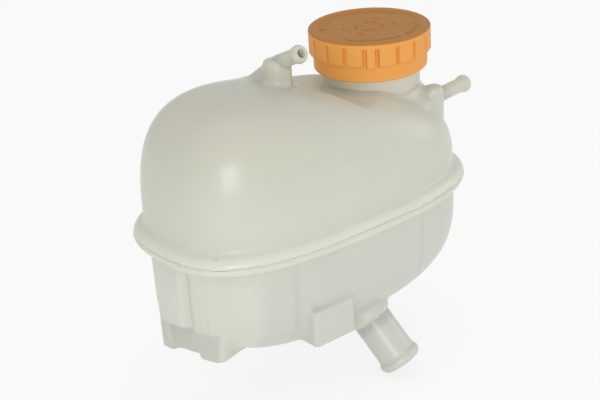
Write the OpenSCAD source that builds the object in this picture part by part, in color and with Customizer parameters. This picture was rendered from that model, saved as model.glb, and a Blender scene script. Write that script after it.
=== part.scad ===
// Coolant expansion tank with a screw cap, hose stubs and the valve insert inside the cap.
// Frame: X runs along the tank towards the cap end, Y across it, Z up from the weld line.

/* [Tank body] */
// Length over the weld flange
body_l = 193; // [180:1:205]
// Width over the weld flange
body_w = 115; // [106:1:125]
// Height of the roof over the weld line, halfway along
upper_h = 66; // [62:0.5:68]
// Share of its height that the roof loses from the middle to the cap end
roof_fall = 0.32; // [0.26:0.01:0.36]
// Depth of the floor under the weld line, halfway along
lower_h = 63; // [58:0.5:66]
// Share of its depth that the floor loses from the middle to the cap end
floor_rise = 0.09; // [0.04:0.01:0.14]
// Wall of both shells
wall = 2.8; // [2.2:0.1:3.4]
// How far the weld flange stands out from the walls
flange_out = 5.7; // [4.5:0.1:7]
// Height of the weld flange's half on each shell
flange_half = 5.8; // [4.8:0.1:7]
// How far the lower shell's end wall stands back under the flange, behind the mounting block
lower_back = 6; // [4:0.5:7]
// Thickness of the surge baffles moulded in the lower shell
baffle_t = 2.2; // [1.8:0.1:3]

/* [Filler neck] */
// Distance of the neck's axis from the middle of the tank
neck_x = 52.5; // [50:0.5:55]
// Bore of the neck
neck_bore_d = 45; // [44:0.1:46]
// Outside diameter of the neck's tube
neck_d = 53.4; // [53:0.1:53.8]
// Depth of the room between neck and cap that the thread's ridges take up
thread_room = 2.7; // [2.5:0.1:2.8]
// How far the level land around the neck lies below the roof's middle
land_drop = 10.5; // [9.5:0.5:12]
// Diameter of the level land, to the foot of its steep edge
land_d = 98; // [92:0.5:102]
// Height of the neck's rim over the land
neck_h = 24; // [23.5:0.1:24.5]

/* [Cap] */
// Diameter over the grip band
cap_d = 66; // [65.5:0.1:68]
// Diameter of the plain skirt
skirt_d = 61.7; // [61:0.1:62.5]
// Height of the cap
cap_h = 22; // [21.6:0.1:22.6]
// Height of the grip band, counted from the top of the cap
grip_h = 13.2; // [12:0.1:14]
// Number of wide lugs in each quarter of the grip band
grip_count = 4; // [3:1:5]
// Angle of the narrow lug that starts each quarter
narrow_lug = 11.8; // [9:0.1:15]
// Gap between a lug and the next
grip_gap = 1.8; // [1.4:0.1:2.4]
// Thickness of the cap's top plate
cap_top_t = 2.5; // [2.2:0.1:2.7]

/* [Valve insert] */
// Outside diameter of the insert's barrel
barrel_d = 44.2; // [43.8:0.1:44.4]
// Wall of the barrel under its seal ring groove
barrel_wall = 2.3; // [2:0.1:2.6]
// Thickness of the seal ring in the neck
ring_t = 3; // [2.8:0.1:3.2]
// Depth of the barrel below the neck's rim
barrel_depth = 18; // [17.6:0.1:18.6]
// Diameter of the pressure valve's seal
seal_d = 25; // [24:0.1:26]
// Thickness of the pressure valve's seal
seal_t = 1.6; // [1.4:0.1:1.8]
// How far the pressure valve lifts
pressure_travel = 2; // [1.5:0.1:2.5]
// How far the vacuum valve drops
vacuum_travel = 1; // [0.6:0.1:1.2]
// Wire of the pressure spring
spring_wire = 1.6; // [1.3:0.1:1.8]
// Mean diameter of the pressure spring
spring_d = 20; // [19:0.1:21]
// Wire of the vacuum spring
small_wire = 0.5; // [0.4:0.05:0.6]

/* [Hose stubs] */
// Outside diameter of the outlet stub
outlet_d = 21.5; // [20.5:0.1:22.5]
// Outside diameter of the two small stubs
small_d = 8; // [7.5:0.1:8.5]
// Bore of the two small stubs
small_bore_d = 4.6; // [4:0.1:5]
// Wall of the outlet stub
outlet_wall = 2.2; // [1.8:0.1:2.6]
// Height of the bead that holds the hose on the outlet stub
outlet_bead = 1.3; // [1:0.1:1.6]
// Height of the bead on each small stub
small_bead = 0.9; // [0.6:0.1:1.1]

/* [Mounting] */
// Width of the foot pocket at its top
pocket_w = 13; // [11:0.5:14]
// Width of the side socket
socket_w = 27; // [25:0.5:29]
// Slot in the side socket
socket_slot = 3.4; // [3:0.1:4]

/* [Hidden] */
$fn = 96;

// Colours of the parts
milky = [0.83, 0.84, 0.78];
orange = [0.9, 0.55, 0.2];
steel = [0.7, 0.7, 0.72];

// Plan and section of the shells are superellipses with these exponents
plan_n = 2.85;
roof_n = 2.95;
floor_n = 2.55;
roof_m = 3.1;
floor_m = 3.9;
half_l = body_l / 2;
half_w = body_w / 2;
// The walls leave the flange at this height
wall_z = flange_half + 0.4;
outer_seg = 56;
inner_seg = 40;
eps = 0.01;
seat_gap = 0.1;
free_gap = 0.3;

// Heights of the land around the neck, of the flare at the neck's foot and of its rim
land_z = upper_h - land_drop;
flare_z = land_z - 13;
neck_rim_z = land_z + neck_h;
neck_r = neck_d / 2;
root_r = neck_r - 0.5;
rim_r = neck_r - 2.1;
// The land's edge rises at this slope over this run
edge_slope = 3;
edge_run = 12;

// Heights in the cap and the valve insert, from the neck's rim down
cap_z = neck_rim_z + 5 - cap_h;
cap_top_z = cap_z + cap_h;
flange_z = neck_rim_z + seat_gap;
flange_t = 1.6;
flange_r = neck_r + 0.9;
barrel_r = barrel_d / 2;
barrel_floor_z = neck_rim_z - barrel_depth;
floor_t = 2;
seat_z = barrel_floor_z + floor_t + 0.9;
port_r = 9;
ring_r = neck_bore_d / 2 - 0.05 - ring_t / 2;
ring_z = neck_rim_z - 5;
groove_r = ring_r - ring_t / 2 - seat_gap;
bore_r = groove_r - barrel_wall - 0.65;
cover_z = neck_rim_z - 1.5;
cover_r = bore_r + 1.1;
cover_t = 1.8;
seal_z = seat_z + seat_gap;
plate_z = seal_z + seal_t;
plate_t = 1.6;
plate_r = seal_d / 2 + 1.5;
hub_top_z = plate_z + plate_t + 1.8;
hub_r = 4.5;
stem_r = 1.2;
stem_hole_r = 2;
clip_z = hub_top_z + 3.2;
clip_t = 0.7;
clip_r = 3.6;
cap_bore_r = root_r + thread_room;
ledge_r = flange_r - 0.8;
// Direction of the gap that comes before a narrow lug
grip_start = 43;

// Superellipse outline of half widths rx and ry with exponent n
function signed_pow(c, p) = sign(c) * pow(abs(c), p);
function outline(rx, ry, n, seg) =
    [for (i = [0:seg - 1]) let (a = 360 * (i + 0.5) / seg)
        [rx * signed_pow(cos(a), 2 / n), ry * signed_pow(sin(a), 2 / n)]];

// Height of the roof and depth of the floor along the tank
function roof_h(x) = upper_h * (1 - roof_fall * x / half_l);
function floor_h(x) = lower_h * (1 - floor_rise * x / half_l);

// A level ring of the weld flange, and a ring of the dome at the share w of its height
function flat_ring(inset, z, seg) =
    [for (p = outline(half_l - inset, half_w - inset, plan_n, seg)) [p.x, p.y, z]];
function centre_x(side) = side > 0 ? 0 : lower_back / 2;
function dome_ring(inset, drop, w, side, seg) =
    let (m = side > 0 ? roof_m : floor_m, n1 = side > 0 ? roof_n : floor_n, x0 = centre_x(side),
         s = pow(1 - pow(w, m), 1 / m), n = plan_n + (n1 - plan_n) * w * w)
    [for (p = outline((half_l - inset - x0) * s, (half_w - inset) * s, n, seg))
        let (x = x0 + p.x, h = (side > 0 ? roof_h(x) : floor_h(x)) - drop)
        [x, p.y, side * (wall_z + (h - wall_z) * w)]];
function crown(drop, side) =
    let (x = centre_x(side)) [x, 0, side * ((side > 0 ? roof_h(x) : floor_h(x)) - drop)];

// Closed solid through rings that end in a point, going up or down from the first ring
module ringed(rings, tip, side) {
    seg = len(rings[0]);
    top = (len(rings) - 1) * seg;
    points = concat([for (r = rings) each r], [tip]);
    faces = concat(
        [[for (i = [0:seg - 1]) i]],
        [for (j = [0:len(rings) - 2], i = [0:seg - 1]) let (k = (i + 1) % seg)
            [j * seg + i, (j + 1) * seg + i, (j + 1) * seg + k]],
        [for (j = [0:len(rings) - 2], i = [0:seg - 1]) let (k = (i + 1) % seg)
            [j * seg + i, (j + 1) * seg + k, j * seg + k]],
        [for (i = [0:seg - 1]) [top + i, len(points) - 1, top + (i + 1) % seg]]);
    polyhedron(points, side > 0 ? faces : [for (f = faces) [for (i = [len(f) - 1:-1:0]) f[i]]]);
}

outer_steps = [0, 0.22, 0.4, 0.56, 0.69, 0.79, 0.87, 0.93, 0.97, 0.993];
inner_steps = [0, 0.3, 0.54, 0.72, 0.85, 0.93, 0.98];

// Outside of a shell with its half of the weld flange
module shell_outside(side) {
    rings = concat(
        [for (a = [0, 28, 52, 72]) flat_ring(flange_out * (1 - cos(a)), side * flange_half * sin(a), outer_seg)],
        [for (w = outer_steps) dome_ring(flange_out, 0, w, side, outer_seg)]);
    ringed(rings, crown(0, side), side);
}

// Room inside a shell, open at the weld line
module shell_room(side, grow = 0) {
    inset = flange_out + wall - grow;
    rings = concat(
        [flat_ring(inset, -side * 0.5, inner_seg)],
        [for (w = inner_steps) dome_ring(inset, wall - grow, w, side, inner_seg)]);
    ringed(rings, crown(wall - grow, side), side);
}

// A hose stub that points along its own +Z and ends at its origin
module stub_outside(r, length, barb) {
    rotate_extrude()
        polygon([[0, -length], [r, -length], [r, -2.2 * barb - 3], [r + barb, -1.2 * barb - 2.2],
                 [r + barb, -barb - 0.8], [r + 0.1, 0], [0, 0]]);
}

// Places of the three stubs: where each one ends or starts, and the way it points
outlet_end = [21.4, -51.1, -90.2];
outlet_turn = [0, 144, -64];
outlet_length = 31;
outlet_collar = 15;
return_boss = [-12, 0, upper_h + 16];
return_boss_r = 7.6;
return_foot = [-12.4, 4.5, upper_h + 11.9];
return_turn = [0, 64.5, -85];
return_length = 26;
vent_foot = [75.4, -25, upper_h - 23.5];
vent_turn = [0, 90, 8];
vent_length = 29;
vent_boss_r = 5.4;
small_r = small_d / 2;
small_bore_r = small_bore_d / 2;
outlet_r = outlet_d / 2;

module at_outlet() {
    translate(outlet_end) rotate(outlet_turn) children();
}
module at_return() {
    translate(return_foot) rotate(return_turn) translate([0, 0, return_length]) children();
}
module at_vent() {
    translate(vent_foot) rotate(vent_turn) translate([0, 0, vent_length]) children();
}

// Boss that stands on the roof and carries a small stub
module stub_boss(r, z_low, z_top) {
    rotate_extrude()
        polygon([[0, z_low], [r, z_low], [r, z_top - 1.5], [r - 1.5, z_top], [0, z_top]]);
}

// Rib that props the return boss against the roof on its far side
module return_gusset() {
    drop = return_boss.z - 3;
    low = upper_h - 11;
    translate([return_boss.x - 3, return_boss.y, 0]) rotate([90, 0, 90]) linear_extrude(6)
        polygon([[0, low], [0, drop], [return_boss_r, drop], [return_boss_r + 9.9, upper_h + 6],
                 [return_boss_r + 15.4, upper_h + 2], [return_boss_r + 25.4, upper_h - 1.5],
                 [return_boss_r + 25.4, low]]);
}

// What the land takes off the high side of the roof: level around the neck, with a steep edge all round
module land_cut(grow) {
    low = land_z - grow;
    r = land_d / 2 + grow * (sqrt(1 + edge_slope * edge_slope) - 1) / edge_slope;
    high = low + edge_slope * edge_run;
    translate([neck_x, 0, 0]) rotate_extrude()
        polygon([[0, low], [r, low], [r + edge_run, high], [0, high]]);
}

// Flared foot of the neck, up to the land
module neck_foot() {
    translate([neck_x, 0, 0]) rotate_extrude()
        polygon([[0, flare_z - 18.5], [neck_r + 7.6, flare_z - 18.5], [neck_r + 7.6, flare_z],
                 [neck_r + 4.8, flare_z + 2.5], [neck_r + 2.2, flare_z + 4.9], [neck_r + 0.8, flare_z + 6.9],
                 [neck_r, flare_z + 9.5], [neck_r, land_z], [0, land_z]]);
}

// Tube of the neck, moulded in one with the upper shell: narrower under its thread, and again at the rim
module filler_neck() color(milky) translate([neck_x, 0, 0]) {
    bore = neck_bore_d / 2;
    rotate_extrude()
        polygon([[bore, land_z], [neck_r, land_z], [neck_r, cap_z + 1], [root_r, cap_z + 1.5],
                 [root_r, neck_rim_z - 4], [rim_r, neck_rim_z - 3], [rim_r, neck_rim_z - 0.5],
                 [rim_r - 0.5, neck_rim_z], [bore, neck_rim_z]]);
}

module upper_shell() color(milky) difference() {
    union() {
        difference() {
            shell_outside(1);
            land_cut(0);
        }
        neck_foot();
        translate([return_boss.x, return_boss.y, 0]) stub_boss(return_boss_r, upper_h - 16, return_boss.z);
        return_gusset();
        at_return() stub_outside(small_r, return_length, small_bead);
        translate([vent_foot.x, vent_foot.y, 0]) stub_boss(vent_boss_r, vent_foot.z - 10.5, vent_foot.z + 7);
        at_vent() stub_outside(small_r, vent_length, small_bead);
    }
    difference() {
        shell_room(1);
        land_cut(wall);
    }
    translate([neck_x, 0, flare_z - 22.5]) cylinder(d = neck_bore_d, h = neck_rim_z);
    at_return() translate([0, 0, -return_length]) cylinder(r = small_bore_r, h = return_length + 1);
    translate([return_boss.x, return_boss.y, upper_h - 16])
        cylinder(r = small_bore_r, h = return_foot.z - upper_h + 18);
    at_vent() translate([0, 0, -vent_length]) cylinder(r = small_bore_r, h = vent_length + 1);
    translate([vent_foot.x, vent_foot.y, vent_foot.z - 22.5]) cylinder(r = small_bore_r, h = 22.5);
}

// Block for the mounting bracket: its outline under the flange and at its foot, from its far corner
block_top_z = -flange_half + 0.8;
block_foot_z = -62.3;
block_x = -half_l + flange_out - 0.2;
block_top = [[0, 16], [0, -8], [2.5, -18], [6, -25], [12, -29.5], [31, -29.5], [31, 16]];
block_foot = [[2, 16], [4, 2], [8, -10], [11, -20], [14.5, -22], [27, -15], [41, -15], [41, 16]];
module end_block(inset, foot_z) {
    hull() {
        translate([block_x, 0, block_top_z - 1]) linear_extrude(1) offset(delta = -inset) polygon(block_top);
        translate([block_x, 0, foot_z]) linear_extrude(1) offset(delta = -inset) polygon(block_foot);
    }
}

// Groove down the block's face between two points, counted from the block's far top corner
module flute(top, foot, r) {
    run = foot - top;
    translate([block_x, 0, 0] + top) rotate([0, acos(run.z / norm(run)), atan2(run.y, run.x)])
        cylinder(r = r, h = norm(run));
}
module flutes(grow) {
    flute([-1, -12, block_top_z - 2], [3, -6.5, pocket_top_z - 1], 4 + grow);
    flute([4, -23.5, block_top_z - 2], [7.8, -17, pocket_top_z - 6], 1.5 + grow);
}

// Pocket for the bracket's tongue, open at the foot and at the face, with a back wall that follows the face
pocket_far_y = 8;
pocket_top_z = -45;
pocket_flare = 6.5;
pocket_depth = 5;
module foot_pocket(grow) {
    y0 = pocket_far_y - pocket_w - grow;
    y1 = pocket_far_y + grow;
    low = block_foot_z - 6;
    difference() {
        translate([block_x - 2, 0, 0]) rotate([90, 0, 90]) linear_extrude(18)
            polygon([[y1, pocket_top_z + grow], [y0, pocket_top_z + grow], [y0 - pocket_flare, low], [y1, low]]);
        end_block(pocket_depth + grow, low - 1);
    }
}

// Socket on the near side, with a slot that is open below
socket_x = -27;
socket_y = -54;
socket_top_z = -35;
socket_h = 21;
module side_socket() {
    translate([socket_x - socket_w / 2, socket_y, socket_top_z - socket_h])
        cube([socket_w, 18, socket_h]);
}
module side_slot() {
    translate([socket_x - socket_w / 2 + 3, socket_y + 3, socket_top_z - socket_h - 1])
        cube([socket_w - 6, socket_slot, socket_h - 4]);
}

// Surge baffle across the lower shell, with a window at its foot
baffle_low = 9;
window_w = 28;
window_h = 21;
module baffle(x) {
    intersection() {
        shell_room(-1, 0.4);
        difference() {
            translate([x - baffle_t / 2, -half_w, -lower_h]) cube([baffle_t, body_w, lower_h - baffle_low]);
            translate([x - baffle_t, -window_w / 2, -lower_h - 1]) cube([2 * baffle_t, window_w, window_h + 1]);
        }
    }
}

module lower_shell() color(milky) {
    difference() {
        union() {
            shell_outside(-1);
            end_block(0, block_foot_z);
            side_socket();
            at_outlet() translate([0, 0, -outlet_length - outlet_collar])
                cylinder(r = outlet_r + 2, h = outlet_collar);
        }
        difference() {
            union() {
                shell_room(-1);
                end_block(wall, block_foot_z + wall);
            }
            foot_pocket(wall);
            flutes(wall);
        }
        foot_pocket(0);
        flutes(0);
        side_slot();
        at_outlet() translate([0, 0, -outlet_length - outlet_collar - 4])
            cylinder(r = outlet_r - outlet_wall, h = outlet_collar + 8);
    }
    baffle(-46);
    baffle(40);
}

// Tube of the outlet, moulded in one with the lower shell, from its root collar to its end
module outlet_stub() color(milky) at_outlet() difference() {
    stub_outside(outlet_r, outlet_length, outlet_bead);
    translate([0, 0, -outlet_length - 1]) cylinder(r = outlet_r - outlet_wall, h = outlet_length + 2);
}

// Screw cap: a skirt and a ribbed grip band under one top plate, with a snap ledge inside
module cap_shell() color(orange) translate([neck_x, 0, 0]) {
    cap_r = cap_d / 2;
    skirt_r = skirt_d / 2;
    band_z = cap_top_z - grip_h;
    ledge_z = flange_z - free_gap;
    difference() {
        rotate_extrude()
            polygon([[0, cap_top_z - cap_top_t], [cap_bore_r, cap_top_z - cap_top_t], [cap_bore_r, ledge_z],
                     [ledge_r, ledge_z], [ledge_r, ledge_z - 0.5], [cap_bore_r, ledge_z - 1.8],
                     [cap_bore_r, cap_z + 1], [cap_bore_r + 0.7, cap_z], [skirt_r - 0.4, cap_z],
                     [skirt_r, cap_z + 0.5], [skirt_r, band_z - 1], [cap_r - 0.7, band_z], [cap_r, band_z + 0.8],
                     [cap_r, cap_top_z - 2], [cap_r - 0.6, cap_top_z - 0.7], [cap_r - 2, cap_top_z],
                     [cap_r - 5, cap_top_z], [cap_r - 5.8, cap_top_z - 0.7], [0, cap_top_z - 0.7]]);
        // Gaps between the lugs: each quarter has a narrow lug and then the wide ones
        for (q = [0:3], i = [0:grip_count])
            let (wide = (90 - narrow_lug) / grip_count)
                rotate([0, 0, grip_start + 90 * q - i * wide])
                    translate([skirt_r, -grip_gap / 2, band_z - 2]) cube([5, grip_gap, grip_h - 1.6]);
    }
}

// Insert that seals in the neck: a flange on the rim, a barrel with a ring groove, a floor with a valve seat
module valve_housing() color("dimgray") translate([neck_x, 0, 0]) {
    low = barrel_floor_z;
    rotate_extrude()
        polygon([[port_r, low], [barrel_r - 1, low], [barrel_r, low + 1], [barrel_r, ring_z - ring_t / 2 - seat_gap],
                 [groove_r, ring_z - ring_t / 2 - seat_gap], [groove_r, ring_z + ring_t / 2 + seat_gap],
                 [barrel_r, ring_z + ring_t / 2 + seat_gap], [barrel_r, flange_z], [flange_r, flange_z],
                 [flange_r, flange_z + flange_t], [cover_r + seat_gap, flange_z + flange_t],
                 [cover_r + seat_gap, cover_z - seat_gap], [bore_r, cover_z - seat_gap],
                 [bore_r, low + floor_t], [port_r + 1.6, low + floor_t], [port_r + 1.2, seat_z],
                 [port_r + 0.4, seat_z], [port_r, low + floor_t]]);
}

module neck_seal() color([0.08, 0.08, 0.08]) translate([neck_x, 0, ring_z])
    rotate_extrude() translate([ring_r, 0]) circle(d = ring_t, $fn = 32);

// Perforated cover that holds the pressure spring down in the housing
module spring_cover() color("dimgray") translate([neck_x, 0, 0]) difference() {
    union() {
        translate([0, 0, cover_z]) cylinder(r = cover_r, h = cover_t);
        translate([0, 0, cover_z - 1.4]) cylinder(r = spring_d / 2 - spring_wire / 2 - free_gap, h = 1.5);
    }
    translate([0, 0, cover_z - 2]) cylinder(r = 6, h = cover_t + 3);
    for (i = [0:5])
        rotate([0, 0, 60 * i]) translate([13.5, 0, cover_z - 1]) cylinder(r = 1.5, h = cover_t + 2);
}

// Helical spring from one height to another, with its ends closed to one wire's pitch
module coil_spring(mean_r, wire_r, z_low, z_high, turns, sides, steps) {
    total = turns * steps;
    rise = z_high - z_low - 2 * wire_r;
    function lift(u) = u < 1 ? 0.5 * 2.2 * wire_r * u * u
        : u > turns - 1 ? rise - 0.5 * 2.2 * wire_r * (turns - u) * (turns - u)
        : 1.1 * wire_r + (rise - 2.2 * wire_r) * (u - 1) / (turns - 2);
    points = [for (k = [0:total], j = [0:sides - 1])
        let (u = k / steps, a = 360 * u, b = 360 * j / sides, r = mean_r + wire_r * cos(b))
        [r * cos(a), r * sin(a), z_low + wire_r + lift(u) + wire_r * sin(b)]];
    faces = concat(
        [[for (j = [0:sides - 1]) j]],
        [[for (j = [sides - 1:-1:0]) total * sides + j]],
        [for (k = [0:total - 1], j = [0:sides - 1]) let (n = (j + 1) % sides)
            [k * sides + j, (k + 1) * sides + j, (k + 1) * sides + n]],
        [for (k = [0:total - 1], j = [0:sides - 1]) let (n = (j + 1) % sides)
            [k * sides + j, (k + 1) * sides + n, k * sides + n]]);
    polyhedron(points, faces);
}

module pressure_spring() color(steel) translate([neck_x, 0, 0])
    coil_spring(spring_d / 2, spring_wire / 2, plate_z + plate_t + seat_gap, cover_z - seat_gap, 4, 8, 18);

// Plate that carries the pressure seal, guided by fins in the barrel
module pressure_valve() color("dimgray") translate([neck_x, 0, 0]) difference() {
    union() {
        translate([0, 0, plate_z]) cylinder(r = plate_r, h = plate_t);
        translate([0, 0, plate_z - 1.1]) cylinder(r = plate_r, h = 1.2);
        translate([0, 0, plate_z]) cylinder(r = hub_r, h = hub_top_z - plate_z);
        for (i = [0:2])
            rotate([0, 0, 120 * i]) translate([plate_r - 2, -1, plate_z])
                cube([bore_r - free_gap - plate_r + 1.9, 2, plate_t + 2]);
    }
    translate([0, 0, plate_z - 2]) cylinder(d = seal_d + 2 * seat_gap, h = 2);
    translate([0, 0, plate_z - 1]) cylinder(r = stem_hole_r, h = hub_top_z - plate_z + 2);
}

module pressure_seal() color([0.08, 0.08, 0.08]) translate([neck_x, 0, seal_z]) difference() {
    cylinder(d = seal_d, h = seal_t);
    translate([0, 0, -1]) cylinder(r = 4.2, h = seal_t + 2);
}

// Disc and stem in one: the small spring pulls the disc up against the seal's inner lip
module vacuum_valve() color(steel) translate([neck_x, 0, 0]) {
    disc_t = 0.9;
    rotate_extrude()
        polygon([[0, seal_z - seat_gap - disc_t], [6, seal_z - seat_gap - disc_t], [6, seal_z - seat_gap],
                 [stem_r, seal_z - seat_gap], [stem_r, clip_z + clip_t + seat_gap],
                 [stem_r + 0.5, clip_z + clip_t + seat_gap], [stem_r + 0.3, clip_z + clip_t + 0.9],
                 [0, clip_z + clip_t + 0.9]]);
}

module vacuum_spring() color(steel) translate([neck_x, 0, 0])
    coil_spring(2.8, small_wire / 2, hub_top_z + seat_gap, clip_z - seat_gap, 4, 6, 12);

module spring_clip() color(steel) translate([neck_x, 0, clip_z]) difference() {
    cylinder(r = clip_r, h = clip_t);
    translate([0, 0, -1]) cylinder(r = stem_r + 0.05, h = clip_t + 2);
}

upper_shell();
filler_neck();
lower_shell();
outlet_stub();
cap_shell();
valve_housing();
neck_seal();
spring_cover();
pressure_spring();
pressure_valve();
pressure_seal();
vacuum_valve();
vacuum_spring();
spring_clip();
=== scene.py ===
import math

import bmesh
import bpy
import numpy as np
from mathutils import Matrix, Vector


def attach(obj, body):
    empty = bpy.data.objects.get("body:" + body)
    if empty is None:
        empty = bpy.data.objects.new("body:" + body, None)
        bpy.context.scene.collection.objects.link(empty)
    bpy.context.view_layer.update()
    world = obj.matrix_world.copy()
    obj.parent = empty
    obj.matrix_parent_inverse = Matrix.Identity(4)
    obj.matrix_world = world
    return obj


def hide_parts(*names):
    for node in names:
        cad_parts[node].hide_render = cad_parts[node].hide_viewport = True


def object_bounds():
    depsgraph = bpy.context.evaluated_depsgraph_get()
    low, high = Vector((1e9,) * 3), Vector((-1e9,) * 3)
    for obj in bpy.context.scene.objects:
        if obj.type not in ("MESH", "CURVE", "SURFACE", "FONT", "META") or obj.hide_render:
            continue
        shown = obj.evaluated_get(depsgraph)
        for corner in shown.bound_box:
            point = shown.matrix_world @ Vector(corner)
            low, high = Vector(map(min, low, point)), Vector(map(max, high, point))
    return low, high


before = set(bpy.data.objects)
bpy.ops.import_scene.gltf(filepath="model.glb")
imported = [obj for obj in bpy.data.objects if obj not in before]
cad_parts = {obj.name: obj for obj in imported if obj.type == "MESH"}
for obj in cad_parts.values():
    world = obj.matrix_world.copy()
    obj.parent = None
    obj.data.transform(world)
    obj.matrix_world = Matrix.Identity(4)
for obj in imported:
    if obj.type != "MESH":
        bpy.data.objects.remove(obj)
cad_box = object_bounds()

# The table: pale matt board just under the outlet, which is the lowest piece of the hanging tank.
# In a reflection or through the plastic it is plain white, and where the camera sees it, it keeps the
# tank's shadow. The lamps are large soft boxes, and the camera stands where the photograph was taken.
MM = 0.001


class Value:
    """A number that varies over a surface. Operators on it add Math nodes to its material."""

    def __init__(self, finish, socket):
        self.finish, self.socket = finish, socket

    def math(self, operation, left, right=0.0):
        return self.finish.node("ShaderNodeMath", {"operation": operation}, {0: left, 1: right})

    def __add__(self, other):
        return self.math("ADD", self, other)

    def __radd__(self, other):
        return self.math("ADD", other, self)

    def __sub__(self, other):
        return self.math("SUBTRACT", self, other)

    def __rsub__(self, other):
        return self.math("SUBTRACT", other, self)

    def __mul__(self, other):
        return self.math("MULTIPLY", self, other)

    def __truediv__(self, other):
        return self.math("DIVIDE", self, other)

    def __abs__(self):
        return self.math("ABSOLUTE", self)

    def held(self):
        """The value held between 0 and 1."""
        return self.math("MINIMUM", self.math("MAXIMUM", self), 1.0)


class Wires:
    """A node tree. node() adds any node to it: its settings first, then its inputs."""

    def __init__(self, tree):
        self.tree = tree

    def plug(self, socket, value):
        if isinstance(value, Value):
            self.tree.links.new(value.socket, socket)
        else:
            socket.default_value = value

    def node(self, kind, settings=None, inputs=None, output=0):
        made = self.tree.nodes.new(kind)
        for key, value in (settings or {}).items():
            setattr(made, key, value)
        for key, value in (inputs or {}).items():
            self.plug(made.inputs[key], value)
        return Value(self, made.outputs[output])

    def ray(self, *kinds):
        """1 where the ray is of one of these kinds, such as Glossy."""
        flags = [self.node("ShaderNodeLightPath", output=f"Is {kind} Ray") for kind in kinds]
        return sum(flags[1:], flags[0]).held()

    def mix(self, factor, first, second):
        """The colour first where factor is 0 and second where it is 1."""
        return self.node("ShaderNodeMix", {"data_type": "RGBA"}, {0: factor, 6: first, 7: second}, output=2)

    def axes(self):
        """Object coordinates X, Y and Z in millimetres."""
        place = self.node("ShaderNodeTexCoord", output=3)
        return [self.node("ShaderNodeSeparateXYZ", {}, {0: place}, output=i) / MM for i in range(3)]

    def noise(self, size, detail=2.0, stretch=(1.0, 1.0, 1.0)):
        """Noise between 0 and 1 whose features are about size millimetres across."""
        place = self.node("ShaderNodeMapping", {}, {0: self.node("ShaderNodeTexCoord", output=3), 3: stretch})
        inputs = {"Vector": place, "Scale": 1.0 / (size * MM), "Detail": detail}
        return self.node("ShaderNodeTexNoise", {}, inputs)


class Finish(Wires):
    """A material with one Principled surface, whose fixed inputs are given by name."""

    def __init__(self, name, **fixed):
        self.material = bpy.data.materials.new(name)
        self.material.use_nodes = True
        super().__init__(self.material.node_tree)
        self.surface = self.tree.nodes["Principled BSDF"]
        for socket, value in fixed.items():
            self.feed(socket.replace("_", " "), value)

    def feed(self, socket, value):
        self.plug(self.surface.inputs[socket], value)

    def relief(self, value, distance):
        """Bump of a height value: distance is in millimetres for a height of 1."""
        self.feed("Normal", self.node("ShaderNodeBump", {}, {"Height": value, "Distance": distance * MM}))

    def paint(self, *pieces):
        for piece in pieces:
            piece.data.materials.clear()
            piece.data.materials.append(self.material)


def rgb(red, green, blue):
    """A screen colour from 0 to 255 as the linear colour that a shader takes."""
    share = np.array([red, green, blue]) / 255.0
    return (*np.where(share <= 0.04045, share / 12.92, ((share + 0.055) / 1.055) ** 2.4), 1.0)


floor_z, floor_half = cad_box[0][2] - 1.0 * MM, 3.0
floor_mesh = bpy.data.meshes.new("floor")
floor_corners = [(x * floor_half, y * floor_half, floor_z) for x, y in ((-1, -1), (1, -1), (1, 1), (-1, 1))]
floor_mesh.from_pydata(floor_corners, [], [(0, 1, 2, 3)])
floor = bpy.data.objects.new("floor", floor_mesh)
bpy.context.collection.objects.link(floor)
board = Finish("board", Base_Color=rgb(246, 246, 245), Roughness=0.9)
white = board.node("ShaderNodeEmission", {}, {"Color": (1.0, 1.0, 1.0, 1.0), "Strength": 1.0})
whiter = (board.ray("Glossy", "Transmission") + board.ray("Camera") * 0.8).held()
blend = board.node("ShaderNodeMixShader", {}, {0: whiter, 1: Value(board, board.surface.outputs[0]), 2: white})
board.plug(board.tree.nodes["Material Output"].inputs["Surface"], blend)
board.paint(floor)

bpy.context.scene.view_settings.view_transform = "Standard"
studio = bpy.data.worlds.new("studio")
bpy.context.scene.world = studio
studio.use_nodes = True
sky = Wires(studio.node_tree)
ambient = sky.tree.nodes["Background"]
ambient.inputs["Color"].default_value = (1.0, 1.0, 1.0, 1.0)
ambient.inputs["Strength"].default_value = 0.70
white = sky.node("ShaderNodeBackground", {}, {"Color": (1.0, 1.0, 1.0, 1.0), "Strength": 1.0})
blend = sky.node("ShaderNodeMixShader", {}, {0: sky.ray("Camera", "Transmission"),
                                             1: Value(sky, ambient.outputs[0]), 2: white})
sky.plug(sky.tree.nodes["World Output"].inputs["Surface"], blend)


def soft_box(name, place, size, watts):
    """Square lamp of a size in metres that looks at the middle of the tank."""
    lamp = bpy.data.lights.new(name, "AREA")
    lamp.shape, lamp.size, lamp.energy = "SQUARE", size, watts
    box = bpy.data.objects.new(name, lamp)
    bpy.context.collection.objects.link(box)
    towards_tank = (-Vector(place)).to_track_quat("-Z", "Y")
    box.matrix_world = Matrix.Translation(place) @ towards_tank.to_matrix().to_4x4()


soft_box("front_light", (-0.85, -1.05, 0.25), 0.5, 5.4)
soft_box("side_light", (1.2, -0.5, 0.3), 0.6, 1.5)
soft_box("top_light", (-0.1, -0.1, 1.6), 1.6, 2.6)

camera_data = bpy.data.cameras.new("camera")
camera_data.lens, camera_data.sensor_width = 88.22, 36.0
camera = bpy.data.objects.new("camera", camera_data)
bpy.context.collection.objects.link(camera)
camera.matrix_world = (Matrix.Translation(Vector((-453.1, -567.45, 326.0)) * MM)
                       @ Matrix.Rotation(math.radians(-38.45), 4, "Z")
                       @ Matrix.Rotation(math.radians(90 - 24.26), 4, "X")
                       @ Matrix.Rotation(math.radians(-3.717), 4, "Z"))
bpy.context.scene.camera = camera

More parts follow.
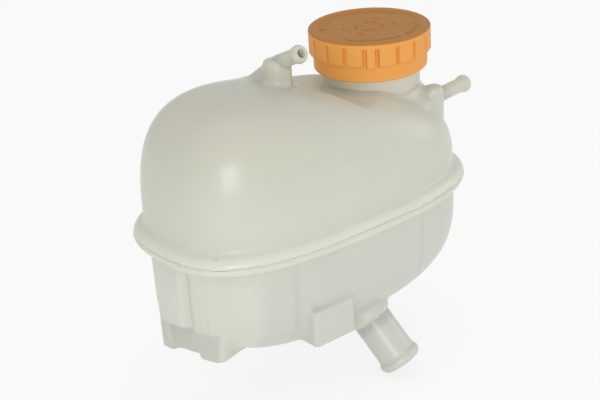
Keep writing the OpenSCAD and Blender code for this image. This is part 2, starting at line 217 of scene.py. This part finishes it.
# Upper shell: the roof half of the tank, moulded in milky polypropylene 2.8 mm thick, with the flared foot of
# the neck on its level land, two bosses with small hose stubs and half of the weld flange.
# It is welded to the lower shell all round, which leaves a thin line of flash in the middle of the flange.
length, width, wall = 193.0, 115.0, 2.8
flange_out, flange_half, plan_n = 5.7, 5.8, 2.85
wall_z = flange_half + 0.4
SIDES = {
    "upper": {"side": 1, "height": 66.0, "fall": 0.32, "top_n": 2.95, "section": 3.1, "back": 0.0},
    "lower": {"side": -1, "height": 63.0, "fall": 0.09, "top_n": 2.55, "section": 3.9, "back": 3.0},
}


def outline(long, wide, power, count):
    """Superellipse |2x/long|^power + |2y/wide|^power = 1, as count points at equal steps along it."""
    turn = np.linspace(0.0, 2 * np.pi, 4097)
    c, s = np.cos(turn), np.sin(turn)
    x = long / 2 * np.sign(c) * np.abs(c) ** (2 / power)
    y = wide / 2 * np.sign(s) * np.abs(s) ** (2 / power)
    run = np.concatenate([[0.0], np.cumsum(np.hypot(np.diff(x), np.diff(y)))])
    steps = np.arange(count) / count * run[-1]
    return np.interp(steps, run, x), np.interp(steps, run, y)


def quads(rows, columns, round_and_round=False):
    """Faces between the points of a grid whose columns wrap round, and whose rows may too."""
    row = np.arange(rows if round_and_round else rows - 1)[:, None]
    column = np.arange(columns)[None, :]
    above, beside = (row + 1) % rows, (column + 1) % columns
    corners = (row * columns + column, row * columns + beside,
               above * columns + beside, above * columns + column)
    return np.stack(np.broadcast_arrays(*corners), axis=-1).reshape(-1, 4)


def skin(rings):
    """Closed solid through rings of points, each end closed by a fan round the middle of its ring."""
    rings = np.asarray(rings, dtype=float)
    rows, columns, _ = rings.shape
    points = np.concatenate([rings.reshape(-1, 3), rings[:1].mean(axis=1), rings[-1:].mean(axis=1)])
    column = np.arange(columns)
    beside, last = (column + 1) % columns, (rows - 1) * columns
    middle = np.full(columns, rows * columns)
    return points, [quads(rows, columns), np.stack([beside, column, middle], axis=1),
                    np.stack([column + last, beside + last, middle + 1], axis=1)]


def hoop(rings):
    """Closed solid whose rings of points follow each other round and back to the first."""
    rings = np.asarray(rings, dtype=float)
    return rings.reshape(-1, 3), [quads(rings.shape[0], rings.shape[1], True)]


def level(x, y, z):
    """Ring of points at one height, or at a height that varies round it."""
    return np.stack([x, y, np.broadcast_to(z, x.shape)], axis=-1)


def dome(kind, thinner=0.0, columns=300, rows=50):
    """Half of the tank: its rings are superellipses that shrink as (1 - w^m)^(1/m) while their height
    grows as w, and the height falls evenly along the tank. The outside starts with the flange's half bead;
    thinner by the wall it is the room inside, which starts past the weld plane."""
    form = SIDES[kind]
    side, back, m = form["side"], form["back"], form["section"]
    long, wide = length - 2 * (flange_out + thinner), width - 2 * (flange_out + thinner)
    past_weld = 3.0
    rings = []
    if thinner:
        rings.append(level(*outline(long, wide, plan_n, columns), -past_weld * side))
    else:
        for angle in np.radians(np.linspace(0, 80, 14)):
            inset = 2 * flange_out * (1 - math.cos(angle))
            rings.append(level(*outline(length - inset, width - inset, plan_n, columns),
                               side * flange_half * math.sin(angle)))
    for angle in np.linspace(0.0, np.pi / 2 - 0.03, rows):
        w, s = math.sin(angle) ** (2 / m), math.cos(angle) ** (2 / m)
        power = plan_n + (form["top_n"] - plan_n) * w * w
        x, y = outline((long - 2 * back) * s, wide * s, power, columns)
        x = x + back
        height = form["height"] * (1 - form["fall"] * x / (length / 2)) - thinner
        rings.append(level(x, y, side * (wall_z + (height - wall_z) * w)))
    return skin(rings)


def softened(corners, radius, closed=False, steps=5):
    """Outline through corners, each rounded by a curve that starts up to radius before it."""
    corners = np.array(corners, dtype=float)
    reach = np.broadcast_to(radius, len(corners)).astype(float)[:, None]
    sides = [np.roll(corners, shift, axis=0) - corners for shift in (1, -1)]
    spans = [np.linalg.norm(side, axis=1)[:, None] for side in sides]
    first, last = [corners + side / span * np.minimum(reach, 0.45 * span) for side, span in zip(sides, spans)]
    t = np.linspace(0, 1, steps)[None, :, None]
    curve = (1 - t) ** 2 * first[:, None] + 2 * t * (1 - t) * corners[:, None] + t ** 2 * last[:, None]
    path = curve.reshape(-1, 2)
    if not closed:
        path = np.concatenate([corners[:1], curve[1:-1].reshape(-1, 2), corners[-1:]])
    return path[np.linalg.norm(path - np.roll(path, 1, axis=0), axis=1) > 1e-4]


def turned(profile, columns=96):
    """Rings of a surface of revolution about Z through (radius, height) points."""
    turn = np.arange(columns) / columns * 2 * np.pi
    radius, height = np.array(profile, dtype=float).T
    return np.stack([radius[:, None] * np.cos(turn), radius[:, None] * np.sin(turn),
                     np.broadcast_to(height[:, None], (len(radius), columns))], axis=-1)


def put(solid, turn=(0, 0, 0), shift=(0, 0, 0)):
    """The solid turned by degrees about X, then Y, then Z, and moved."""
    points, faces = solid
    spin = (Matrix.Rotation(math.radians(turn[2]), 3, "Z") @ Matrix.Rotation(math.radians(turn[1]), 3, "Y")
            @ Matrix.Rotation(math.radians(turn[0]), 3, "X"))
    return points @ np.array(spin).T + np.array(shift), faces


def rod(radius, low, high):
    """Closed cylinder on Z between two heights."""
    return skin(turned([(radius, low), (radius, high)], 64))


def block(low, high):
    """Box between two corners."""
    (x0, y0, z0), (x1, y1, z1) = low, high
    flat = np.array([(x0, y0), (x1, y0), (x1, y1), (x0, y1)], dtype=float)
    return skin([level(*flat.T, z0), level(*flat.T, z1)])


def body(name, solids):
    """Object of one or more closed solids given in millimetres, with every face looking outwards."""
    points, faces, start = [], [], 0
    for solid_points, solid_faces in solids:
        points.append(solid_points)
        for face in solid_faces:
            faces += (face + start).tolist()
        start += len(solid_points)
    mesh = bpy.data.meshes.new(name)
    mesh.from_pydata((np.concatenate(points) * MM).tolist(), [], faces)
    tidy = bmesh.new()
    tidy.from_mesh(mesh)
    bmesh.ops.recalc_face_normals(tidy, faces=tidy.faces)
    tidy.to_mesh(mesh)
    tidy.free()
    made = bpy.data.objects.new(name, mesh)
    bpy.context.collection.objects.link(made)
    return made


def settled(made):
    """The object with its modifiers worked into its mesh."""
    bpy.context.view_layer.update()
    shaped = bpy.data.meshes.new_from_object(made.evaluated_get(bpy.context.evaluated_depsgraph_get()))
    made.modifiers.clear()
    made.data = shaped
    return made


def carved(name, first, adds=(), cuts=()):
    """The first solid with others added and others taken away. A solid may be an object carved before."""
    made = first if isinstance(first, bpy.types.Object) else body(name, [first])
    helpers = []
    for operation, parts in (("UNION", adds), ("DIFFERENCE", cuts)):
        for part in parts:
            helpers.append(part if isinstance(part, bpy.types.Object) else body(name + "_tool", [part]))
            step = made.modifiers.new("step", "BOOLEAN")
            step.solver, step.operation, step.object = "MANIFOLD", operation, helpers[-1]
    settled(made)
    for helper in helpers:
        bpy.data.objects.remove(helper)
    return made


def one_skin(made):
    """Deletes what isn't connected to the largest surface, such as a bubble that the remesh left in a wall.
    Each point takes the lowest number among its neighbours until nothing changes, so that in the end all
    points of one surface share a number."""
    ends = np.empty(len(made.data.edges) * 2, dtype=np.int32)
    made.data.edges.foreach_get("vertices", ends)
    first, second = ends.reshape(-1, 2).T
    number, before = np.arange(len(made.data.vertices)), None
    while not np.array_equal(number, before):
        before = number.copy()
        low = np.minimum(before[first], before[second])
        np.minimum.at(number, first, low)
        np.minimum.at(number, second, low)
        number = number[number]
    stray = np.flatnonzero(number != np.bincount(number).argmax())
    whole = bmesh.new()
    whole.from_mesh(made.data)
    whole.verts.ensure_lookup_table()
    bmesh.ops.delete(whole, geom=[whole.verts[i] for i in stray], context="VERTS")
    whole.to_mesh(made.data)
    whole.free()
    return made


def moulded(made):
    """Evens the faces out and relaxes them, which rounds each corner as a mould's tool leaves it."""
    face_size, rounds = 1.2, 5
    even = made.modifiers.new("even", "REMESH")
    even.mode, even.voxel_size = "VOXEL", face_size * MM
    relax = made.modifiers.new("relax", "SMOOTH")
    relax.factor, relax.iterations = 0.5, rounds
    return one_skin(settled(made))


def smooth(made, angle):
    """Smooth shading, with edges that turn by more than angle degrees kept sharp."""
    made.data.polygons.foreach_set("use_smooth", np.ones(len(made.data.polygons), dtype=bool))
    made.data.set_sharp_from_angle(angle=math.radians(angle))
    return made


def with_trim(made, solids):
    """Adds crisp closed pieces to a moulding, in one mesh with it, and shades the whole."""
    sharp_from = 38
    trim = body(made.name + "_trim", solids)
    whole = bmesh.new()
    whole.from_mesh(made.data)
    whole.from_mesh(trim.data)
    whole.to_mesh(made.data)
    whole.free()
    bpy.data.objects.remove(trim)
    return smooth(made, sharp_from)


def hose_stub(radius, bore, long, bead, root):
    """Stub along its own +Z that ends at its origin: a tube with a bead behind its rounded end and a bore.
    Root is how far the hollow between tube and bead is rounded."""
    bead_r = radius + bead
    corners = [(bore, -long), (radius, -long), (radius, -2.2 * bead - 3.2), (bead_r, -1.2 * bead - 2.4),
               (bead_r, -bead - 0.7), (radius + 0.1, -0.1), (radius - 0.6, 0.0), (bore + 0.3, 0.0),
               (bore, -0.5)]
    return hoop(turned(softened(corners, [0, 0, root, 0.9, 0.7, 0.5, 0.3, 0.3, 0]), 72))


neck_x, neck_r, root_r, rim_r, rim_z, bore_r = 52.5, 26.7, 26.2, 24.6, 79.5, 22.5
at_neck = (neck_x, 0, 0)
land_z, land_r, edge_rise, edge_run = 55.5, 49.0, 3.0, 14
room_land_r = land_r + wall * (math.hypot(1, edge_rise) - 1) / edge_rise


def above_land(r, low):
    """What the land takes off the roof: level out to r, with a steep edge all round."""
    return put(skin(turned([(r, low), (r + edge_run, low + edge_run * edge_rise)])), shift=at_neck)


flare = [(neck_r + out, z) for out, z in ((7.6, 24), (7.6, 42.5), (4.8, 45), (2.2, 47.4), (0.8, 49.4),
                                          (-0.2, 52), (-0.6, 54), (-0.6, 58))]
small_r, small_bore_r, small_bead, small_root = 4.0, 2.3, 0.9, 0.8
return_place, return_turn, return_long = (-12.4, 4.5, 77.9), (0, 64.5, -85), 26.0
return_boss, return_boss_r = (-12, 0, 0), 7.6
vent_place, vent_turn, vent_long = (75.4, -25.0, 42.5), (0, 90, 8), 29.0
vent_boss, vent_boss_r = (75.4, -25, 0), 5.4
gusset = softened([(0, 55), (0, 79), (return_boss_r, 79), (17.5, 72), (23, 68), (33, 64.5), (33, 55)],
                  2.0, closed=True)
gusset_rib = skin([np.column_stack([np.full(len(gusset), x), gusset]) for x in (-15.0, -9.0)])


def boss(radius, low, top):
    """Round boss with a rounded upper edge."""
    return skin(turned(softened([(radius, low), (radius, top), (0.4, top)], 2.2), 64))


upper_room = carved("upper_room", dome("upper", wall), cuts=[above_land(room_land_r, land_z - wall)])
upper = carved("tank_upper_shell", dome("upper"), cuts=[above_land(land_r, land_z)])
upper = carved("tank_upper_shell", upper, adds=[
    put(skin(turned(flare)), shift=at_neck),
    put(boss(return_boss_r, 50, 82), shift=return_boss), gusset_rib,
    put(rod(small_r - 0.05, 0, 14), return_turn, return_place),
    put(boss(vent_boss_r, 32, 49.5), shift=vent_boss),
    put(rod(small_r - 0.05, 0, 12), vent_turn, vent_place),
], cuts=[
    upper_room,
    put(rod(bore_r, 20, 70), shift=at_neck),
    put(rod(small_bore_r, -1, 20), return_turn, return_place),
    put(rod(small_bore_r, 50, 79), shift=return_boss),
    put(rod(small_bore_r, -1, 20), vent_turn, vent_place),
    put(rod(small_bore_r, 20, 42.5), shift=vent_boss),
])
moulded(upper)


def thread(radius, reach, low, turns, start):
    """Helical ridge that stands out from radius by reach. It thins out over an eighth of a turn at each end."""
    pitch, steps = 6.0, 72
    t = np.linspace(0, 1, int(turns * steps) + 1)
    turn = start + 2 * np.pi * turns * t
    rise = low + pitch * turns * t
    grown = np.clip(np.minimum(t, 1 - t) * turns * 8, 0.05, 1.0)
    section = np.array([(-0.4, -1.3), (0.0, -1.2), (0.75, -0.75), (1.0, -0.4), (1.0, 0.4), (0.75, 0.75),
                        (0.0, 1.2), (-0.4, 1.3)])
    out = radius + reach * section[None, :, 0] * np.where(section[:, 0] > 0, grown[:, None], 1.0)
    up = rise[:, None] + section[None, :, 1] * (0.35 + 0.65 * grown[:, None])
    return skin(np.stack([out * np.cos(turn)[:, None], out * np.sin(turn)[:, None], up], axis=-1))


neck_corners = [(bore_r - 0.1, 48), (neck_r, 48), (neck_r, 63.5), (root_r, 64.0), (root_r, 75.5), (rim_r, 76.5),
                (rim_r, 79.0), (rim_r - 0.5, rim_z), (bore_r + 0.4, rim_z), (bore_r - 0.1, 79.0)]
neck_tube = hoop(turned(softened(neck_corners, [0, 0, 0.2, 0.2, 0.6, 0.6, 0.4, 0.3, 0.3, 0.3]), 144))
flash_x, flash_y = outline(length, width, plan_n, 420)
flash_section = np.array([(-1.4, -0.55), (-0.35, -0.38), (-0.11, -0.2), (-0.07, 0.0), (-0.11, 0.2),
                          (-0.35, 0.38), (-1.4, 0.55)])
# The flash has broken out over a short stretch near the end block, which leaves a dark slit in the weld
slit_x, slit_half, slit_deep = -85.75, 3.6, 0.9
slit = slit_deep * np.exp(-((flash_x - slit_x) / slit_half) ** 6) * (flash_y < 0)
flash_out = flash_section[:, :1] - slit
flash = hoop(np.stack([flash_x * (1 + flash_out / (length / 2)), flash_y * (1 + flash_out / (width / 2)),
                       np.broadcast_to(flash_section[:, 1:], flash_out.shape)], axis=-1))


def nub(place, size):
    """Small round nub that a sprue or pin leaves."""
    angle = np.linspace(0.02, np.pi - 0.02, 14)
    return put(skin(turned(np.column_stack([size * np.sin(angle), -size * np.cos(angle)]), 20)), shift=place)


def small_stub(long, root_long):
    """Small hose stub whose end is long above its foot and whose tube starts root_long above it."""
    return put(hose_stub(small_r, small_bore_r, long - root_long, small_bead, small_root), shift=(0, 0, long))


thread_reach, thread_start = 1.9, 0.4
with_trim(upper, [
    put(neck_tube, shift=at_neck),
    put(thread(root_r, thread_reach, 64.5, 1.65, thread_start), shift=at_neck),
    put(small_stub(return_long, 6), return_turn, return_place),
    put(small_stub(vent_long, 4), vent_turn, vent_place),
    flash,
    nub((-84.5, -33.6, 5.0), 0.7), nub((-66.0, -44.6, 5.1), 0.7),
])
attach(upper, "tank")
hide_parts("upper_shell", "filler_neck")

# Lower shell: the floor half of the tank, moulded like the roof half, 2.8 mm thick.
# It carries the grooved end block with the bracket's pocket, the side socket for a sheet-metal tab, the
# outlet on its root collar and two surge baffles across the inside.
block_x, block_top_z, block_foot_z = -91.0, -5.0, -62.3
block_top = [(0, 16), (0, -8), (2.5, -18), (6, -25), (12, -29.5), (31, -29.5), (31, 16)]
block_foot = [(2, 16), (4, 2), (8, -10), (11, -20), (14.5, -22), (41, -15), (41, 16)]


def drawn_in(corners, inset):
    """Outline whose sides are all moved inwards by inset."""
    corners = np.array(corners, dtype=float)
    along = np.roll(corners, -1, axis=0) - corners
    inward = np.column_stack([-along[:, 1], along[:, 0]]) / np.linalg.norm(along, axis=1)[:, None]
    before = np.roll(inward, 1, axis=0)
    return corners + inset * (inward + before) / (1 + (inward * before).sum(axis=1))[:, None]


def end_block(inset, foot_z):
    """Convex block between its outline under the flange and its outline at the foot, both drawn in by inset."""
    shape = bmesh.new()
    for corners, low, high in ((block_top, block_top_z - 1, block_top_z), (block_foot, foot_z, foot_z + 1)):
        for x, y in drawn_in(corners, inset):
            for z in (low, high):
                shape.verts.new(((block_x + x) * MM, y * MM, z * MM))
    found = bmesh.ops.convex_hull(shape, input=shape.verts)
    loose = [part for part in found["geom_interior"] if isinstance(part, bmesh.types.BMVert)]
    bmesh.ops.delete(shape, geom=loose, context="VERTS")
    bmesh.ops.recalc_face_normals(shape, faces=shape.faces)
    mesh = bpy.data.meshes.new("end_block")
    shape.to_mesh(mesh)
    shape.free()
    made = bpy.data.objects.new("end_block", mesh)
    bpy.context.collection.objects.link(made)
    return made


def flute(top, foot, radius):
    """Round groove between two points, counted from the block's far top corner."""
    top, foot = np.array(top, dtype=float), np.array(foot, dtype=float)
    run = foot - top
    turn = (0, math.degrees(math.acos(run[2] / np.linalg.norm(run))), math.degrees(math.atan2(run[1], run[0])))
    return put(rod(radius, 0, np.linalg.norm(run)), turn, (block_x + top[0], top[1], top[2]))


def flutes(grow):
    return [flute((-1, -12, block_top_z - 2), (3, -6.5, -46), 4 + grow),
            flute((4, -23.5, block_top_z - 2), (7.8, -17, -51), 1.5 + grow)]


def pocket(grow):
    """Room for the bracket's tongue: flared at its foot, with a back wall that follows the block's face."""
    y0, y1, low = -5 - grow, 8 + grow, block_foot_z - 6
    sides = softened([(y1, -45 + grow), (y0, -45 + grow), (y0 - 6.5, low), (y1, low)], 0.8, closed=True)
    wedge = skin([np.column_stack([np.full(len(sides), x), sides]) for x in (block_x - 2, block_x + 16)])
    return carved("pocket", wedge, cuts=[end_block(5 + grow, low - 1)])


outlet_end, outlet_turn, outlet_r, outlet_bore_r = (21.4, -51.1, -90.2), (0, 144, -64), 10.75, 8.5
baffle_xs, baffle_half = (-46.0, 40.0), 1.1
baffles = [block((x - baffle_half, -60, -64), (x + baffle_half, 60, -9)) for x in baffle_xs]
windows = block((-50, -14, -70), (45, 14, -42))
plates = carved("plates", baffles[0], adds=baffles[1:], cuts=[windows])
side_socket = block((-40.5, -54.0, -56.0), (-13.5, -36.0, -35.0))
socket_slot = block((-37.5, -51.0, -57.0), (-16.5, -47.6, -40.0))
lower_room = carved("lower_room", dome("lower", wall), adds=[end_block(wall, block_foot_z + wall)],
                    cuts=[pocket(wall), *flutes(wall), plates])
lower = carved("tank_lower_shell", dome("lower"), adds=[
    end_block(0, block_foot_z), side_socket,
    put(rod(outlet_r + 2, -46, -31), outlet_turn, outlet_end),
    put(rod(outlet_r - 0.05, -44, -24), outlet_turn, outlet_end),
], cuts=[
    lower_room, pocket(0), *flutes(0), socket_slot,
    put(rod(outlet_bore_r + 0.05, -50, -20), outlet_turn, outlet_end),
])
moulded(lower)
outlet_long, outlet_bead, outlet_root = 33, 1.3, 1.5
with_trim(lower, [put(hose_stub(outlet_r, outlet_bore_r, outlet_long, outlet_bead, outlet_root),
                      outlet_turn, outlet_end)])
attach(lower, "tank")
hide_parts("lower_shell", "outlet_stub")

# Milky plastic of both shells: unfilled polypropylene, satin from the tool's fine spark-eroded face.
# Thick places such as the flange look lighter, the lower shell is a little colder than the roof, and the
# baffles show through as faint upright bands. The roof is painted darker as shade, the bracket's pocket is
# painted darker as shade, and round the neck a painted warm reflection of the cap lightens the roof.
milky = Finish("milky_plastic", Subsurface_Weight=0.3, Subsurface_Radius=(1.0, 0.95, 0.8),
               Subsurface_Scale=0.003, IOR=1.49)
x, y, z = milky.axes()
cloud = milky.noise(45.0)
on_flange = (2.2 - abs(z) * (1 / 3.6)).held()
below = (z * -0.09 - 0.4).held()
on_block = ((-60.0 - x) * 0.2).held() * below
# Painted shade: the roof is coloured darker, as the light falls from the front.
shaded_roof = ((z - 20.0) * (1 / 45.0)).held()
bands = sum((1.4 - abs(x - baffle_x) * 0.6).held() for baffle_x in baffle_xs)
tint = milky.mix(shaded_roof, rgb(208, 210, 195), rgb(200, 199, 184))
tint = milky.mix(below, tint, rgb(206, 208, 199))
tint = milky.mix(on_block, tint, rgb(214, 214, 203))
tint = milky.mix(on_flange, tint, rgb(219, 221, 206))
tint = milky.mix(bands.held() * below * 0.3, tint, rgb(188, 189, 176))
# Painted shade in the bracket's pocket: the recess is coloured darker.
pocket_shade = ((-78.0 - x) * 0.5).held() * ((-43.0 - z) * 0.5).held()
tint = milky.mix(pocket_shade * 0.75, tint, rgb(190, 191, 183))
# Painted reflection: the roof round the neck is coloured lighter and warmer, as if lit by light off the orange
# cap.
cap_reflection = (3.2 - ((x - neck_x) * (x - neck_x) + y * y) * 0.0017).held() * ((z - 47.0) * 0.2).held()
tint = milky.mix(cap_reflection * 0.6, tint, rgb(222, 214, 192))
tint = milky.mix(((cloud - 0.5) * 0.5 + 0.15).held(), tint, rgb(196, 196, 183))
milky.feed("Base Color", tint)
milky.feed("Roughness", 0.30 + (milky.noise(18.0, 3.0) - 0.5) * 0.14)
milky.relief(milky.noise(0.55, 1.0), 0.025)
milky.paint(upper, lower)

# Screw cap: one moulding of orange polypropylene with a plain skirt, a band of lugs for the hand and a rim.
# Each quarter of the band has a narrow lug and four wide ones. On the flat top stand generic raised dashes and
# arrows, and inside are the thread and the ledge that snaps under the insert's flange.
cap_z, cap_top, face_z, band_z = 62.5, 84.5, 83.8, 71.3
cap_r, skirt_r, cap_bore_r, ledge_r, lug_out = 33.0, 30.85, 28.9, 26.8, 2.15
quarters, wide_lug, narrow_lug = 43 + 90 * np.arange(4), 19.55, 11.8
columns = 720
turn = np.arange(columns) / columns * 2 * np.pi
gaps = (quarters[:, None] - np.arange(5) * wide_lug).ravel()
away = (np.degrees(turn)[:, None] - gaps + 180) % 360 - 180
nearest = np.abs(away).min(axis=1) * math.radians(1) * cap_r


def ease(value):
    """Smooth step of a value from 0 to 1."""
    value = np.clip(value, 0, 1)
    return value * value * (3 - 2 * value)


lug = ease((nearest - 0.35) / 1.1)
narrow = ((np.degrees(turn)[:, None] - quarters) % 360 < narrow_lug).any(axis=1)
lug_foot = band_z - 1.0 * narrow
inside = softened([(0.5, 82.0), (cap_bore_r, 82.0), (cap_bore_r, 79.3), (ledge_r, 79.3), (ledge_r, 78.8),
                   (cap_bore_r, 77.5), (cap_bore_r, 63.6), (29.6, cap_z), (30.4, cap_z),
                   (skirt_r, cap_z + 0.8)], [0, 0.5, 0.2, 0.2, 0.3, 0.4, 0.5, 0.3, 0.4, 0])
side = np.column_stack([np.full(40, skirt_r), np.linspace(cap_z + 1.2, 81.8, 40)])
over = softened([(skirt_r, 82.0), (skirt_r, cap_top), (28.2 - lug_out, cap_top), (27.2 - lug_out, face_z),
                 (0.5, face_z)], [0, 2.6, 0.6, 0.6, 0], steps=9)
profile = np.concatenate([inside, side, over])
outer = np.concatenate([np.zeros(len(inside), bool), np.ones(len(side) + len(over), bool)])
radius, height = profile[:, :1], profile[:, 1:]
rim = ease((height - 80.2) / 1.4)
grown = np.maximum(rim, lug[None, :] * ease((height - lug_foot[None, :] + 0.5) / 1.0))
grown = grown * outer[:, None] * np.clip(radius / 20.0, 0, 1)
reach = radius + lug_out * grown
cap_rings = np.stack([reach * np.cos(turn), reach * np.sin(turn), np.broadcast_to(height, reach.shape)], -1)


def raised(points, half_width):
    """Raised bar with rounded shoulders along flat points on the cap's top. It thins out at both ends."""
    high = 0.45
    along = np.gradient(points, axis=0)
    beside = np.column_stack([-along[:, 1], along[:, 0]]) / np.linalg.norm(along, axis=1)[:, None]
    section = np.array([(-1.0, -0.3), (-0.95, 0.45), (-0.6, 0.95), (0.6, 0.95), (0.95, 0.45), (1.0, -0.3)])
    ends = np.interp(np.linspace(0, 1, len(points)), [0, 0.08, 0.92, 1], [0.45, 1, 1, 0.45])[:, None]
    flat = points[:, None] + beside[:, None] * section[None, :, :1] * half_width * ends[:, :, None]
    up = face_z + section[None, :, 1] * high * np.minimum(ends + 0.3, 1)
    return skin(np.concatenate([flat, up[..., None]], axis=-1))


def arc(r, start, end):
    """Points every two degrees or closer along a flat arc round the cap's axis."""
    angle = np.radians(np.linspace(start, end, max(int(abs(end - start) / 2), 6)))
    return np.column_stack([r * np.cos(angle), r * np.sin(angle)])


marks, mark_r = [], 25.0
for start, end in ((-165, -161), (-158.5, -151), (-148.5, -145.5), (-143, -135), (-132.5, -130), (-127.5, -119),
                   (-116, -112), (-109, -100), (-97, -93.5), (14, 21), (24, 27), (30, 38), (41, 44), (47.5, 56),
                   (59, 62), (65, 73), (76, 79)):
    marks.append(raised(arc(mark_r, start, end), 0.75))
for start, end, way in ((100, 148, 1), (-30, -78, -1)):
    marks.append(raised(arc(mark_r, start, end), 0.55))
    tip = arc(mark_r, end, end + 1)[0]
    for side_r in (mark_r - 2.2, mark_r + 1.6):
        marks.append(raised(np.linspace(tip, arc(side_r, end - 6 * way, end - 5 * way)[0], 6), 0.5))
for quarter in (0, 90, 180, 270):
    marks.append(raised(arc(7.4, quarter + 18, quarter + 72), 0.5))
for start, end in ((142, 158), (202, 218), (322, 338), (22, 38)):
    marks.append(raised(arc(14.0, start, end), 0.6))
cap_thread = thread(cap_bore_r, -thread_reach, 67.5, 1.0, thread_start)
cap = body("cap", [put(solid, shift=at_neck) for solid in [skin(cap_rings), cap_thread, *marks]])
smooth(cap, 50)
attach(cap, "cap")
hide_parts("cap_shell")
orange = Finish("orange_plastic", Subsurface_Weight=0.08, Subsurface_Radius=(1.0, 0.5, 0.2),
                Subsurface_Scale=0.002, Specular_IOR_Level=0.3)
x, y, z = orange.axes()
# Painted shade: the cap's flat top is coloured darker than its skirt, as the light falls from the front.
shaded_top = ((z - 83.3) * 2.0).held()
shade = orange.mix(shaded_top, rgb(233, 162, 80), rgb(180, 122, 52))
shade = orange.mix((orange.noise(12.0, 3.0) - 0.5).held() * 0.4, shade, rgb(214, 146, 66))
orange.feed("Base Color", shade)
orange.feed("Roughness", 0.5 + (orange.noise(7.0, 3.0) - 0.5) * 0.16)
orange.relief(orange.noise(0.5, 1.0) * 0.3 + orange.noise(6.0, 2.0), 0.06)
orange.paint(cap)

# Valve insert: black glass-filled nylon housing, cover and plate, which hang in the cap and seal in the neck.
# They are turned mouldings with a fine matt grain, whose colour and roughness vary in soft patches.
# Their solids already have the real shape, so they keep it and only take their finish here.
nylon = Finish("black_nylon")
nylon.feed("Base Color", nylon.mix(nylon.noise(5.0, 4.0), rgb(34, 34, 37), rgb(52, 52, 55)))
nylon.feed("Roughness", 0.42 + nylon.noise(3.0, 3.0) * 0.2)
nylon.relief(nylon.noise(0.35, 2.0), 0.05)
nylon.paint(*[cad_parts[name] for name in ("valve_housing", "spring_cover", "pressure_valve")])

# Seals: the ring in the housing's groove and the flat seal under the plate, both of peroxide-cured rubber.
# They are pressed parts with a dull, slightly dusty face, and they are held by their grooves.
# A light bloom of wax shows as paler clouds.
rubber = Finish("seal_rubber")
rubber.feed("Base Color", rubber.mix(rubber.noise(4.0, 4.0), rgb(22, 22, 22), rgb(46, 46, 45)))
rubber.feed("Roughness", 0.66 + rubber.noise(2.0, 3.0) * 0.2)
rubber.relief(rubber.noise(0.3, 2.0), 0.04)
rubber.paint(*[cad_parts[name] for name in ("neck_seal", "pressure_seal")])

# Springs, vacuum disc and clip: stainless spring wire, coiled with closed ends, and turned or stamped sheet.
# The joints press the two springs together, so they stay the frame's own solids and only take their finish.
# Fine drawing marks run along the metal and its tint drifts slightly from grey to straw.
steel = Finish("spring_steel", Metallic=1.0)
drawn = steel.noise(1.2, 3.0, (1.0, 1.0, 9.0))
steel.feed("Base Color", steel.mix(steel.noise(6.0, 2.0), rgb(186, 187, 190), rgb(203, 198, 186)))
steel.feed("Roughness", 0.2 + drawn * 0.18)
steel.relief(drawn, 0.02)
steel_names = ("pressure_spring", "vacuum_spring", "vacuum_valve", "spring_clip")
steel.paint(*[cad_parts[name] for name in steel_names])

bpy.context.view_layer.update()
